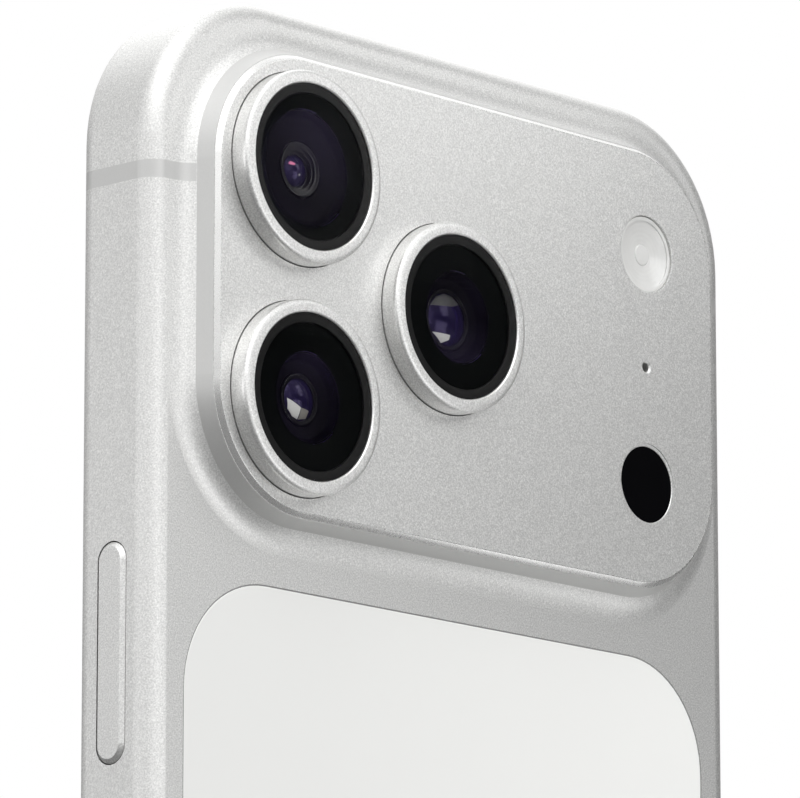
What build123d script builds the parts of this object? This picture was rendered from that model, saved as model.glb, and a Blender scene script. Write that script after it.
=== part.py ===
"""Slab smartphone with a raised camera plateau, as an assembly of separate pieces.

The phone stands upright: +Z runs up its length, -Y is the screen's side, +Y the back, and the
origin is the middle of the bottom edge, half way through the greatest depth. A depth is a distance
in millimetres from the screen's face towards the back, so that a piece is placed by the layer it is in.
"""

import math
import os

from build123d import *

# Overall sizes.
BODY_WIDTH = 71.9
BODY_HEIGHT = 150.0
BODY_DEPTH = 8.75  # screen face to the plain part of the back
FULL_DEPTH = 13.1  # screen face to the tops of the camera rings
BODY_CORNER = 13.2
FRONT_EDGE_ROUND = 1.65
BACK_EDGE_ROUND = 1.9
WALL = 2.0
MID_DEPTH = BODY_DEPTH / 2  # the side buttons and the port are centred here
SIDE = BODY_WIDTH / 2

# Screen.
GLASS_INSET = 1.45
GLASS_THICKNESS = 0.65
GLASS_GAP = 0.1
PANEL_INSET = 2.75
PANEL_BACK = 1.65
SHELF_DEPTH = 1.7  # the screen assembly rests on a shelf here
SENSOR_PILL = (20.7, 5.9)
SENSOR_PILL_Z = 141.2
EAR_SLIT = (11.0, 0.5)

# Back panel and the window behind it.
REAR_GLASS_WIDTH = 64.2
REAR_GLASS_LOW = 3.9
REAR_GLASS_HIGH = 101.0
REAR_GLASS_CORNER = 9.5
REAR_GLASS_FRONT = 7.95
BACK_WALL_FRONT = 7.4
CHARGE_Z = 58.0  # height of the charging coil's centre

# Camera plateau. Offsets are measured outwards from the outline of its flat face.
PLATE_WIDTH = 61.66
PLATE_LOW = 106.93
PLATE_HIGH = 144.95
PLATE_CORNER = 10.0
PLATE_FACE = 11.4
PLATE_UNDERSIDE = 10.2
PLATE_CHAMFER = 0.38
PLATE_SKIRT = 0.7
FOOT_OFFSET = 1.1
FOOT_DEPTH = 9.7
FLANK_TOP_OFFSET = 0.46
FLANK_TOP = 11.0
LEDGE_DEPTH = 8.6
LEDGE_OPENING = 1.0
SHOULDER_REACH = 2.2
BAND_HEIGHT = 1.5  # plastic breaks in the side walls
BAND_Z = 133.75
LOWER_BAND_Z = 14.75
BAND_INLAY = 1.2

# Rear cameras: name, x, z, lens radius, radius of the clear window in the cover's black rim.
CAMERAS = (
    ("upper", 21.5, 135.6, 1.5, 5.25),
    ("lower", 21.5, 116.28, 2.15, 4.1),
    ("side", 3.53, 125.94, 2.45, 4.3),
)
RING_RADIUS = 8.12
RING_FLANGE = 8.6
RING_TOP = FULL_DEPTH
RING_EDGE_ROUND = 0.42
RING_FOOT = 9.6
RING_GAP = 0.08
CAMERA_GLASS_RADIUS = 6.97
CAMERA_GLASS = (12.25, 13.02)
MASK_INNER = 6.15
MASK_FRONT = 12.0
RING_BORE = 6.3
BAFFLE_FLOOR = (11.1, 11.5)
BARREL_RADIUS = 3.2
BARREL_TIP = 11.35
BARREL_FOOT = 5.4
LENS_RECESS = 0.25  # the barrel's rim stands this far above the lens's crown
CAMERA_BODY = 14.6
CAMERA_BODY_DEPTHS = (2.9, 9.5)
FOCUS_TRAVEL = 0.25

# Flash, microphone and depth sensor, in one column.
SENSOR_X = -22.14
FLASH_Z = 136.13
MIC_Z = 125.97
DEPTH_SENSOR_Z = 115.73
WINDOW_RADIUS = 3.44
WINDOW_GAP = 0.05
MIC_HOLE = 0.58

# Side keys: name, side, z, length, width, how far the cap stands out.
KEY_GAP = 0.1
KEY_TRAVEL = 0.25
KEY_PROUD = 0.3
KEYS = (
    ("side_button", 1, 94.3, 18.2, 3.28, KEY_PROUD),
    ("camera_key", 1, 52.0, 19.6, 3.1, 0.0),
    ("volume_up_button", -1, 104.3, 10.4, 3.28, KEY_PROUD),
    ("volume_down_button", -1, 90.6, 10.4, 3.28, KEY_PROUD),
    ("action_button", -1, 119.0, 7.2, 3.28, KEY_PROUD),
)
KEY_CHAMFER = 0.35
KEY_FLANGE = (33.25, 33.85)  # distance of the retaining flange from the middle plane
KEY_FLANGE_BORDER = 0.4
SWITCH = (31.8, 32.9)

# Card tray, in the left wall.
TRAY_Z = 61.0
TRAY_FACE = (16.4, 2.9)
TRAY_FACE_THICKNESS = 1.2
TRAY_BODY_WIDTH = 12.8
TRAY_BODY = (3.93, 4.82)  # depths of the tray's blade
TRAY_TIP_X = -19.5
CARD = (8.8, 12.3)  # opening for the card, along X and Z
EJECT_HOLE_RADIUS = 0.45

# Bottom edge.
PORT = (9.0, 3.2)
PORT_DEPTH = 7.4
PORT_SHELL = 0.3
SCREW_X = 7.4
SCREW_HEAD = 0.8
SOUND_HOLES = 5
SOUND_HOLE_RADIUS = 0.75
SOUND_HOLE_PITCH = 2.7
SOUND_HOLE_X = 12.6

# Inside layers.
BATTERY = (-13.0, 31.0, 24.0, 101.0)  # x low, x high, z low, z high
BATTERY_DEPTHS = (2.7, 6.8)
BOARD = (-31.4, -14.2, 24.0, 103.0)
BOARD_DEPTHS = (5.2, 5.9)
SHIELD_HEIGHT = 0.9


def across(depth):
    """The Y coordinate of a depth."""
    return depth - FULL_DEPTH / 2


def slab(outline, front, back):
    """An outline drawn in (x, z), as a solid between two depths."""
    plane = Plane(origin=(0, across(back), 0), x_dir=(1, 0, 0), z_dir=(0, -1, 0))
    return extrude(plane * outline, amount=back - front)


def panel(width, low, high, corner):
    """A rounded rectangle about the middle plane, between two heights."""
    return Pos(0, (low + high) / 2) * RectangleRounded(width, high - low, corner)


def body_outline(inset):
    """The phone's outline, moved inwards."""
    return panel(BODY_WIDTH - 2 * inset, inset, BODY_HEIGHT - inset, BODY_CORNER - inset)


def plate_outline(offset):
    """The plateau face's outline, moved outwards."""
    return panel(
        PLATE_WIDTH + 2 * offset, PLATE_LOW - offset, PLATE_HIGH + offset, PLATE_CORNER + offset
    )


def block(x_low, x_high, z_low, z_high, front, back, corner=0.0):
    """A box with its upright-to-the-back corners rounded."""
    width, height = x_high - x_low, z_high - z_low
    shape = RectangleRounded(width, height, corner) if corner else Rectangle(width, height)
    return slab(Pos((x_low + x_high) / 2, (z_low + z_high) / 2) * shape, front, back)


def disc(x, z, radius, front, back):
    """A round solid whose axis runs front to back."""
    return slab(Pos(x, z) * Circle(radius), front, back)


def ring(x, z, outer, inner, front, back):
    """A flat ring whose axis runs front to back."""
    return slab(Pos(x, z) * (Circle(outer) - Circle(inner)), front, back)


def sideways(outline, near, far, side):
    """An outline drawn in (depth, z), as a solid between two distances from the middle plane."""
    low, high = (near, far) if side > 0 else (-far, -near)
    plane = Plane(origin=(low, across(0), 0), x_dir=(0, 1, 0), z_dir=(1, 0, 0))
    return extrude(plane * outline, amount=high - low)


def upright_slot(depth, z, length, width):
    """A round-ended slot in (depth, z), with its length along Z."""
    return Pos(depth, z) * SlotOverall(length, width, rotation=90)


def upwards(outline, low, high):
    """An outline drawn in (x, depth), as a solid between two heights."""
    plane = Plane(origin=(0, across(0), low), x_dir=(1, 0, 0), z_dir=(0, 0, 1))
    return extrude(plane * outline, amount=high - low)


def edges_at(solid, depth):
    """The edges that lie flat at a depth."""
    y = across(depth)
    return [e for e in solid.edges() if all(abs(v.Y - y) < 1e-4 for v in e.vertices())]


def plateau_moulding(profile):
    """A profile drawn in (x, depth) at the plateau's side, carried round its face's outline."""
    path = Plane(origin=(0, across(0), 0), x_dir=(1, 0, 0), z_dir=(0, -1, 0)) * plate_outline(0)
    middle = (PLATE_LOW + PLATE_HIGH) / 2
    section = Plane(origin=(PLATE_WIDTH / 2, across(0), middle), x_dir=(1, 0, 0), z_dir=(0, 0, 1))
    return sweep(section * profile, path=path.wires()[0])


def shoulder():
    """The concave rise of the back up to the plateau's foot."""
    rise = FOOT_DEPTH - BODY_DEPTH
    radius = (SHOULDER_REACH**2 + rise**2) / (2 * rise)
    half_angle = math.asin(SHOULDER_REACH / radius) / 2
    outer = FOOT_OFFSET + SHOULDER_REACH
    middle = (outer - radius * math.sin(half_angle), BODY_DEPTH + radius * (1 - math.cos(half_angle)))
    root = BODY_DEPTH - 0.3
    edge = [
        Line((FOOT_OFFSET - 1, root), (outer, root)),
        Line((outer, root), (outer, BODY_DEPTH)),
        ThreePointArc((outer, BODY_DEPTH), middle, (FOOT_OFFSET, FOOT_DEPTH)),
        Line((FOOT_OFFSET, FOOT_DEPTH), (FOOT_OFFSET - 1, FOOT_DEPTH)),
        Line((FOOT_OFFSET - 1, FOOT_DEPTH), (FOOT_OFFSET - 1, root)),
    ]
    return plateau_moulding(make_face(edge))


def body_solid():
    """The whole outer form of the housing, with nothing cut out of it."""
    body = slab(body_outline(0), 0, BODY_DEPTH)
    body = fillet(edges_at(body, BODY_DEPTH), BACK_EDGE_ROUND)
    body = fillet(edges_at(body, 0), FRONT_EDGE_ROUND)
    return body + shoulder()


def band_region(z):
    """The space of the plastic breaks at one height, on both sides."""
    low, high = z - BAND_HEIGHT / 2, z + BAND_HEIGHT / 2
    region = None
    for side in (-1, 1):
        wall = sorted((side * (SIDE - BAND_INLAY), side * (SIDE + 1)))
        rim = sorted((side * (REAR_GLASS_WIDTH / 2 - 0.15), side * (SIDE - BAND_INLAY)))
        part = block(*wall, low, high, -1, FOOT_DEPTH + 1)
        part += block(*rim, low, high, BODY_DEPTH - 0.8, FOOT_DEPTH + 1)
        region = part if region is None else region + part
    return region


def sound_hole_places():
    """The middles of the round holes in the bottom edge, on both sides of the port."""
    steps = [SOUND_HOLE_X + SOUND_HOLE_PITCH * i for i in range(SOUND_HOLES)]
    return [side * x for side in (-1, 1) for x in steps]


def housing(body):
    """The unibody: tub, shelf, back wall with its two windows, and every opening in the walls."""
    shell = body - slab(body_outline(GLASS_INSET - GLASS_GAP), -1, SHELF_DEPTH)
    shell -= slab(body_outline(WALL), SHELF_DEPTH - 0.1, BACK_WALL_FRONT)
    gap = GLASS_GAP
    shell -= slab(rear_outline(gap / 2), REAR_GLASS_FRONT, BODY_DEPTH + 0.5)
    shell -= slab(rear_outline(-3.0), BACK_WALL_FRONT - 0.5, REAR_GLASS_FRONT + 0.1)
    shell -= slab(plate_outline(FOOT_OFFSET), LEDGE_DEPTH, FULL_DEPTH)
    shell -= slab(plate_outline(-LEDGE_OPENING), BACK_WALL_FRONT - 0.5, LEDGE_DEPTH + 0.1)
    shell -= band_region(BAND_Z) + band_region(LOWER_BAND_Z)
    for _, side, z, length, width, _ in KEYS:
        shell -= sideways(upright_slot(MID_DEPTH, z, length, width), SIDE - WALL - 0.5, SIDE + 1, side)
    tray_hole = upright_slot(MID_DEPTH, TRAY_Z, TRAY_FACE[0] + 2 * gap, TRAY_FACE[1] + 2 * gap)
    shell -= sideways(tray_hole, SIDE - WALL - 0.5, SIDE + 1, -1)
    shell -= upwards(Pos(0, MID_DEPTH) * SlotOverall(*PORT), -1, WALL + 0.5)
    for x in sound_hole_places():
        shell -= upwards(Pos(x, MID_DEPTH) * Circle(SOUND_HOLE_RADIUS), -1, WALL + 0.5)
    for side in (-1, 1):
        spot = Pos(side * SCREW_X, MID_DEPTH)
        shell -= upwards(spot * Circle(SCREW_HEAD + 0.05), -1, 1.0)
        shell -= upwards(spot * Circle(0.6), 0.9, WALL + 0.5)
    return shell


def rear_outline(offset):
    """The back panel's outline, moved outwards."""
    return panel(
        REAR_GLASS_WIDTH + 2 * offset,
        REAR_GLASS_LOW - offset,
        REAR_GLASS_HIGH + offset,
        REAR_GLASS_CORNER + offset,
    )


def antenna_band(body):
    """The plastic flank round the plateau, joined to the breaks in the side walls."""
    flank = make_face(
        Polyline(
            (PLATE_CHAMFER, LEDGE_DEPTH),
            (FOOT_OFFSET, LEDGE_DEPTH),
            (FOOT_OFFSET, FOOT_DEPTH),
            (FLANK_TOP_OFFSET, FLANK_TOP),
            (PLATE_CHAMFER, FLANK_TOP),
            close=True,
        )
    )
    breaks = (band_region(BAND_Z) & body) - slab(plate_outline(FOOT_OFFSET), 0, FULL_DEPTH)
    breaks -= slab(body_outline(GLASS_INSET - GLASS_GAP), -1, SHELF_DEPTH)
    return plateau_moulding(flank) + breaks


def lower_band(body):
    """The plastic breaks near the bottom."""
    breaks = (band_region(LOWER_BAND_Z) & body) - slab(rear_outline(GLASS_GAP / 2), 0, FULL_DEPTH)
    return breaks - slab(body_outline(GLASS_INSET - GLASS_GAP), -1, SHELF_DEPTH)


def front_glass():
    """Cover glass with a softened rim and the earpiece slit in its top edge."""
    glass = slab(body_outline(GLASS_INSET), 0, GLASS_THICKNESS)
    glass = fillet(edges_at(glass, 0), 0.18)
    top = BODY_HEIGHT - GLASS_INSET
    return glass - block(-EAR_SLIT[0] / 2, EAR_SLIT[0] / 2, top - EAR_SLIT[1], top + 1, -1, 2)


def sensor_pill(grow):
    """The outline of the gap in the display for the front camera and face sensor."""
    return Pos(0, SENSOR_PILL_Z) * SlotOverall(SENSOR_PILL[0] + grow, SENSOR_PILL[1] + grow)


def display_panel():
    """The display, with the pill-shaped opening near its top."""
    screen = slab(body_outline(PANEL_INSET), GLASS_THICKNESS, PANEL_BACK)
    return screen - slab(sensor_pill(0), 0, 3)


def display_frame():
    """The moulded frame that holds the display's rim and seals it to the shelf."""
    rim = slab(body_outline(GLASS_INSET + 0.15), GLASS_THICKNESS, SHELF_DEPTH)
    top = BODY_HEIGHT - GLASS_INSET
    rim -= slab(body_outline(PANEL_INSET - 0.05), 0, 3)
    return rim - block(-6.2, 6.2, top - 1, top + 1, 0, 3)


def front_camera():
    """Front camera: a housing behind the pill, with its round snout and window."""
    x = 6.6
    camera = block(x - 3.2, x + 3.2, SENSOR_PILL_Z - 3.2, SENSOR_PILL_Z + 3.2, 1.9, 5.4, 0.5)
    camera += disc(x, SENSOR_PILL_Z, 2.4, 0.7, 2.0)
    return camera - disc(x, SENSOR_PILL_Z, 1.5, 0, 1.3) - disc(x, SENSOR_PILL_Z, 0.9, 0, 2.2)


def front_lens():
    """The lens in the front camera's snout, with a bevelled rim."""
    lens = disc(6.6, SENSOR_PILL_Z, 1.45, 0.95, 1.3)
    return chamfer(edges_at(lens, 0.95), 0.15)


def face_sensor():
    """Infrared camera and dot projector on one carrier, behind the pill."""
    carrier = block(-10.0, 2.6, SENSOR_PILL_Z - 3.2, SENSOR_PILL_Z + 3.2, 1.9, 4.6, 0.5)
    for x, radius in ((-7.2, 2.2), (-0.9, 1.6)):
        carrier += disc(x, SENSOR_PILL_Z, radius, 0.8, 2.0)
        carrier -= disc(x, SENSOR_PILL_Z, radius - 0.5, 0, 1.2)
    return carrier


def earpiece_mesh():
    """The woven strip in the earpiece slit."""
    top = BODY_HEIGHT - GLASS_INSET
    strip = block(-5.3, 5.3, top - EAR_SLIT[1] + 0.03, top - 0.02, 0.15, 0.5)
    return strip


def rear_glass():
    """The back panel under the plateau, with a softened rim."""
    glass = slab(rear_outline(-GLASS_GAP / 2), REAR_GLASS_FRONT, BODY_DEPTH)
    return fillet(edges_at(glass, BODY_DEPTH), 0.12)


def plateau_plate():
    """The plateau's metal face: a shallow tray with round holes for the cameras and windows."""
    side = PLATE_CHAMFER
    plate = slab(plate_outline(side), LEDGE_DEPTH, PLATE_FACE)
    plate = chamfer(edges_at(plate, PLATE_FACE), PLATE_CHAMFER)
    plate -= slab(plate_outline(side - PLATE_SKIRT), LEDGE_DEPTH - 1, PLATE_UNDERSIDE)
    for _, x, z, _, _ in CAMERAS:
        plate -= disc(x, z, RING_RADIUS + RING_GAP, 0, FULL_DEPTH)
    for z in (FLASH_Z, DEPTH_SENSOR_Z):
        plate -= disc(SENSOR_X, z, WINDOW_RADIUS + WINDOW_GAP, 0, FULL_DEPTH)
    plate -= disc(SENSOR_X, MIC_Z, MIC_HOLE - 0.16, 0, FULL_DEPTH)
    rim = Plane(origin=(SENSOR_X, across(PLATE_FACE), MIC_Z), x_dir=(1, 0, 0), z_dir=(0, -1, 0))
    return plate - extrude(rim * Circle(MIC_HOLE), amount=0.16, taper=45)


def camera_ring(x, z):
    """A camera's metal ring: flange under the plate, rounded lip, stepped bore."""
    outer = disc(x, z, RING_RADIUS, RING_FOOT, RING_TOP)
    outer = fillet(edges_at(outer, RING_TOP), RING_EDGE_ROUND)
    outer += disc(x, z, RING_FLANGE, RING_FOOT, PLATE_UNDERSIDE)
    outer -= disc(x, z, CAMERA_GLASS_RADIUS + 0.02, MASK_FRONT, FULL_DEPTH + 1)
    outer -= disc(x, z, RING_BORE, 0, FULL_DEPTH)
    inner = [e for e in edges_at(outer, RING_TOP) if e.radius < RING_RADIUS - 0.8]
    return chamfer(inner, 0.06)


def camera_glass(x, z):
    """The flat sapphire over a camera."""
    glass = disc(x, z, CAMERA_GLASS_RADIUS, *CAMERA_GLASS)
    return chamfer(edges_at(glass, CAMERA_GLASS[1]), 0.08)


def camera_mask(x, z):
    """The black rim printed under the sapphire."""
    return ring(x, z, CAMERA_GLASS_RADIUS, MASK_INNER, MASK_FRONT, CAMERA_GLASS[0])


def camera_baffle(x, z, window):
    """The black dish that slopes from the edge of the clear window down to the barrel."""
    dish = disc(x, z, RING_BORE - 0.05, BAFFLE_FLOOR[0], MASK_FRONT)
    throat = BARREL_RADIUS + 0.15
    slope = math.degrees(math.atan((window - throat) / (MASK_FRONT - BAFFLE_FLOOR[1])))
    mouth = Plane(origin=(x, across(MASK_FRONT), z), x_dir=(1, 0, 0), z_dir=(0, -1, 0))
    dish -= extrude(mouth * Circle(window), amount=MASK_FRONT - BAFFLE_FLOOR[1], taper=slope)
    return dish - disc(x, z, throat, 0, FULL_DEPTH)


def lens_seat(lens_radius):
    """The depth of a lens's flat foot and the height of its dome."""
    height = 0.42 * lens_radius
    return BARREL_TIP - LENS_RECESS - height, height


def lens_barrel(x, z, lens_radius):
    """The focusing barrel, with a stepped snout round the front lens."""
    seat, _ = lens_seat(lens_radius)
    barrel = disc(x, z, BARREL_RADIUS, BARREL_FOOT, BARREL_TIP)
    barrel = chamfer(edges_at(barrel, BARREL_TIP), 0.15)
    barrel -= disc(x, z, lens_radius + 0.3, BARREL_TIP - 0.3, FULL_DEPTH)
    return barrel - disc(x, z, lens_radius, seat, FULL_DEPTH)


def lens_element(x, z, lens_radius):
    """The domed front lens, seated in the barrel."""
    seat, height = lens_seat(lens_radius)
    dome_radius = (lens_radius**2 + height**2) / (2 * height)
    ball = Pos(x, across(seat + height - dome_radius), z) * Sphere(dome_radius)
    return ball & disc(x, z, lens_radius - 0.01, seat, seat + height + 0.5)


def camera_body(x, z):
    """A camera's actuator case, bored for the barrel, with its sensor board at the front end."""
    half = CAMERA_BODY / 2
    case = block(x - half, x + half, z - half, z + half, *CAMERA_BODY_DEPTHS, 1.2)
    case &= slab(plate_outline(-LEDGE_OPENING - 0.25), 0, FULL_DEPTH)
    return case - disc(x, z, BARREL_RADIUS + 0.06, BARREL_FOOT - FOCUS_TRAVEL, FULL_DEPTH)


def camera_bracket():
    """The pressed plate that ties the three camera cases together, on their screen side."""
    plate = None
    for _, x, z, _, _ in CAMERAS:
        pad = block(x - 7.2, x + 7.2, z - 7.2, z + 7.2, 2.5, 2.9, 1.5)
        plate = pad if plate is None else plate + pad
    plate += block(4, 28, 117, 133, 2.5, 2.9)
    for _, x, z, _, _ in CAMERAS:
        plate -= disc(x, z, 3.4, 2, 3)
    return plate


def flash_lens():
    """The moulded clear lens of the flash, a little below the plate's face."""
    lens = disc(SENSOR_X, FLASH_Z, WINDOW_RADIUS, 10.35, PLATE_FACE - 0.08)
    return chamfer(edges_at(lens, PLATE_FACE - 0.08), 0.12)


def flash_lamp():
    """The flash's board and its cluster of lamp chips."""
    lamp = block(SENSOR_X - 3.1, SENSOR_X + 3.1, FLASH_Z - 3.1, FLASH_Z + 3.1, 9.2, 9.8, 0.6)
    for dx in (-1, 1):
        for dz in (-1, 1):
            x, z = SENSOR_X + dx * 0.85, FLASH_Z + dz * 0.85
            lamp += block(x - 0.75, x + 0.75, z - 0.75, z + 0.75, 9.7, 10.2)
    return lamp


def depth_window():
    """The dark window over the depth sensor."""
    window = disc(SENSOR_X, DEPTH_SENSOR_Z, WINDOW_RADIUS, 10.5, PLATE_FACE - 0.05)
    return chamfer(edges_at(window, PLATE_FACE - 0.05), 0.06)


def depth_sensor():
    """Laser emitter and receiver on one body, behind the dark window."""
    x, z = SENSOR_X, DEPTH_SENSOR_Z
    sensor = block(x - 3.3, x + 3.3, z - 4.4, z + 4.4, 6.6, 9.4, 0.5)
    for dz in (-1.6, 1.6):
        sensor += disc(x, z + dz, 1.3, 9.3, 10.3)
        sensor -= disc(x, z + dz, 0.8, 10.0, 11)
    return sensor


def rear_microphone():
    """The microphone capsule behind the small hole in the plateau."""
    capsule = block(SENSOR_X - 1.9, SENSOR_X + 1.9, MIC_Z - 1.5, MIC_Z + 1.5, 9.0, 10.1, 0.3)
    return capsule - disc(SENSOR_X, MIC_Z, 0.3, 9.6, 11)


def key(side, z, length, width, proud):
    """A key: chamfered cap through the wall, and the flange that keeps it in."""
    cap_length, cap_width = length - 2 * KEY_GAP, width - 2 * KEY_GAP
    face = SIDE + proud
    cap = sideways(upright_slot(MID_DEPTH, z, cap_length, cap_width), KEY_FLANGE[1] - 0.1, face, side)
    rim = [e for e in cap.edges() if all(abs(abs(v.X) - face) < 1e-4 for v in e.vertices())]
    cap = chamfer(rim, KEY_CHAMFER if proud else 0.12)
    flange = upright_slot(MID_DEPTH, z, length + 2 * KEY_FLANGE_BORDER, width + 2 * KEY_FLANGE_BORDER)
    return cap + sideways(flange, *KEY_FLANGE, side)


def key_switches():
    """The dome switches behind the keys, one separate solid each."""
    parts = []
    for _, side, z, _, _, _ in KEYS:
        base = sideways(Pos(MID_DEPTH, z) * RectangleRounded(3.0, 5.0, 0.4), SWITCH[0], SWITCH[0] + 0.6, side)
        parts.append(base + sideways(Pos(MID_DEPTH, z) * Circle(1.0), SWITCH[0] + 0.5, SWITCH[1], side))
    return Compound(children=parts)


def card_tray():
    """The card tray: face plate with its eject hole, and the thin frame that carries the card."""
    face = upright_slot(MID_DEPTH, TRAY_Z, *TRAY_FACE)
    tray = sideways(face, SIDE - TRAY_FACE_THICKNESS, SIDE, -1)
    half = TRAY_BODY_WIDTH / 2
    tray += block(TRAY_TIP_X, -SIDE + TRAY_FACE_THICKNESS + 0.3, TRAY_Z - half, TRAY_Z + half, *TRAY_BODY)
    start = -SIDE + 3.2
    tray -= block(start, start + CARD[0], TRAY_Z - CARD[1] / 2 + 0.8, TRAY_Z + CARD[1] / 2 - 0.8, 0, 9)
    hole = Pos(MID_DEPTH, TRAY_Z - TRAY_FACE[0] / 2 + 1.9) * Circle(EJECT_HOLE_RADIUS)
    return tray - sideways(hole, 30, 37, -1)


def card_reader():
    """The reader's metal cage, open to the tray, with its contact base on the screen side."""
    low, high = TRAY_Z - 7.3, TRAY_Z + 7.3
    cage = block(-33.6, TRAY_TIP_X + 1.6, low, high, TRAY_BODY[0] - 0.75, TRAY_BODY[1] + 0.25)
    slot = block(-35, TRAY_TIP_X + 0.6, low + 0.7, high - 0.7, TRAY_BODY[0] - 0.1, TRAY_BODY[1] + 0.1)
    return cage - slot


def port_shell():
    """The charging port's drawn metal shell."""
    outer = upwards(Pos(0, MID_DEPTH) * SlotOverall(*PORT), 0.25, PORT_DEPTH)
    bore = SlotOverall(PORT[0] - 2 * PORT_SHELL, PORT[1] - 2 * PORT_SHELL)
    return outer - upwards(Pos(0, MID_DEPTH) * bore, -1, PORT_DEPTH - 0.8)


def port_tongue():
    """The contact tongue in the middle of the port."""
    tongue = upwards(Pos(0, MID_DEPTH) * RectangleRounded(6.65, 0.7, 0.15), 0.9, PORT_DEPTH - 0.8)
    for i in range(-5, 6):
        for face in (-1, 1):
            strip = Pos(i * 0.5, MID_DEPTH + face * 0.36) * Rectangle(0.25, 0.06)
            tongue += upwards(strip, 1.6, PORT_DEPTH - 2.0)
    return tongue


def bottom_screws():
    """The two case screws beside the port, with five-pointed sockets."""
    parts = []
    reach = [0.42 if i % 2 else 0.24 for i in range(10)]
    turn = [math.pi * i / 5 for i in range(10)]
    star = Polygon(*[(r * math.cos(a), r * math.sin(a)) for r, a in zip(reach, turn)])
    for side in (-1, 1):
        spot = Pos(side * SCREW_X, MID_DEPTH)
        screw = upwards(spot * Circle(SCREW_HEAD), 0.15, 0.85)
        screw += upwards(spot * Circle(0.5), 0.8, 5.0)
        parts.append(screw - upwards(spot * star, 0, 0.5))
    return Compound(children=parts)


def sound_meshes():
    """The fine meshes behind the round holes in the bottom edge, one each side of the port."""
    parts = []
    inside = slab(body_outline(WALL + 0.02), 0, BODY_DEPTH)
    middle = SOUND_HOLE_X + SOUND_HOLE_PITCH * (SOUND_HOLES - 1) / 2
    for side in (-1, 1):
        strip = Pos(side * middle, MID_DEPTH) * RectangleRounded(14.0, 2.6, 0.4)
        parts.append(upwards(strip, WALL + 0.02, WALL + 0.25) & inside)
    return Compound(children=parts)


def loudspeaker():
    """The loudspeaker's sealed box beside the port."""
    box = block(9.4, 31.6, 2.4, 21.5, 2.7, 7.1, 1.0) & slab(body_outline(WALL + 0.3), 0, BODY_DEPTH)
    return box - block(13.5, 27.5, 8.5, 18.5, 2, 3.6, 1.5)


def speaker_diaphragm():
    """The loudspeaker's stiffened diaphragm."""
    return block(13.7, 27.3, 8.7, 18.3, 3.0, 3.2, 1.4)


def earpiece():
    """The upper loudspeaker, behind the top of the display."""
    return block(-9.0, 5.8, 133.8, 137.6, 2.0, 4.4, 0.6)


def haptic_case():
    """The vibration motor's case, open inside for its sliding weight."""
    case = block(-31.4, -8.6, 8.6, 21.4, 2.7, 7.1, 0.6)
    return case - block(-30.9, -9.1, 9.1, 20.9, 3.2, 6.6, 0.3)


def haptic_weight():
    """The sliding tungsten weight inside the vibration motor."""
    return block(-29.6, -10.4, 9.6, 20.4, 3.5, 6.3, 0.3)


def battery():
    """The steel-cased battery pack."""
    pack = block(*BATTERY, *BATTERY_DEPTHS, 2.0)
    return fillet(edges_at(pack, BATTERY_DEPTHS[1]) + edges_at(pack, BATTERY_DEPTHS[0]), 0.5)


def logic_board():
    """The logic board beside the battery, with a tongue up behind the depth sensor."""
    board = block(*BOARD, *BOARD_DEPTHS, 0.8)
    board += block(-31.4, -17.0, 100, 124.0, *BOARD_DEPTHS, 0.8)
    for x, z in ((-30.2, 25.4), (-15.6, 25.4), (-30.2, 122.6), (-18.4, 122.6)):
        board -= disc(x, z, 0.7, 4, 7)
    return board


def board_screws():
    """The small screws that hold the logic board."""
    parts = []
    for x, z in ((-30.2, 25.4), (-15.6, 25.4), (-30.2, 122.6), (-18.4, 122.6)):
        screw = disc(x, z, 1.0, BOARD_DEPTHS[0] - 0.5, BOARD_DEPTHS[0])
        parts.append(screw + disc(x, z, 0.6, BOARD_DEPTHS[0] - 0.1, BOARD_DEPTHS[1] + 0.4))
    return Compound(children=parts)


def board_shields():
    """The pressed shields over the board's chips."""
    parts = []
    for z_low, z_high in ((28.0, 48.5), (50.0, 75.0), (76.5, 99.0)):
        can = block(-30.4, -15.2, z_low, z_high, BOARD_DEPTHS[1], BOARD_DEPTHS[1] + SHIELD_HEIGHT, 0.8)
        parts.append(fillet(edges_at(can, BOARD_DEPTHS[1] + SHIELD_HEIGHT), 0.25))
    return Compound(children=parts)


def vapor_chamber():
    """The flat copper heat spreader between the board and the display."""
    plate = block(-31.0, 28.0, 26.0, 50.0, 1.8, 2.3, 3.0) + block(-31.0, -15.0, 48.0, 102.0, 1.8, 2.3, 3.0)
    return plate


def charging_coil():
    """The flat copper winding for wireless charging."""
    return ring(0, CHARGE_Z, 21.0, 10.5, 7.3, 7.9)


def coil_ferrite():
    """The ferrite sheet between the coil and the battery."""
    return disc(0, CHARGE_Z, 21.8, 7.05, 7.3)


def holding_magnets():
    """The ring of holding magnets round the coil, and the aligning bar under it."""
    parts = []
    count = 18
    for i in range(count):
        sector = Pos(0, CHARGE_Z) * (Rot(0, 0, i * 360 / count) * magnet_sector(360 / count - 1.5))
        parts.append(slab(sector, 7.3, 7.9))
    parts.append(block(-4.0, 4.0, 12.0, 26.0, 7.3, 7.9, 0.5))
    return Compound(children=parts)


def magnet_sector(angle):
    """One arc-shaped magnet's outline, between two radii."""
    inner, outer = 23.0, 27.2
    half = math.radians(angle / 2)
    near, far = ((r * math.cos(half), r * math.sin(half)) for r in (inner, outer))
    return make_face(
        [
            Line((near[0], -near[1]), (far[0], -far[1])),
            ThreePointArc((far[0], -far[1]), (outer, 0), far),
            Line(far, near),
            ThreePointArc(near, (inner, 0), (near[0], -near[1])),
        ]
    )


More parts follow.
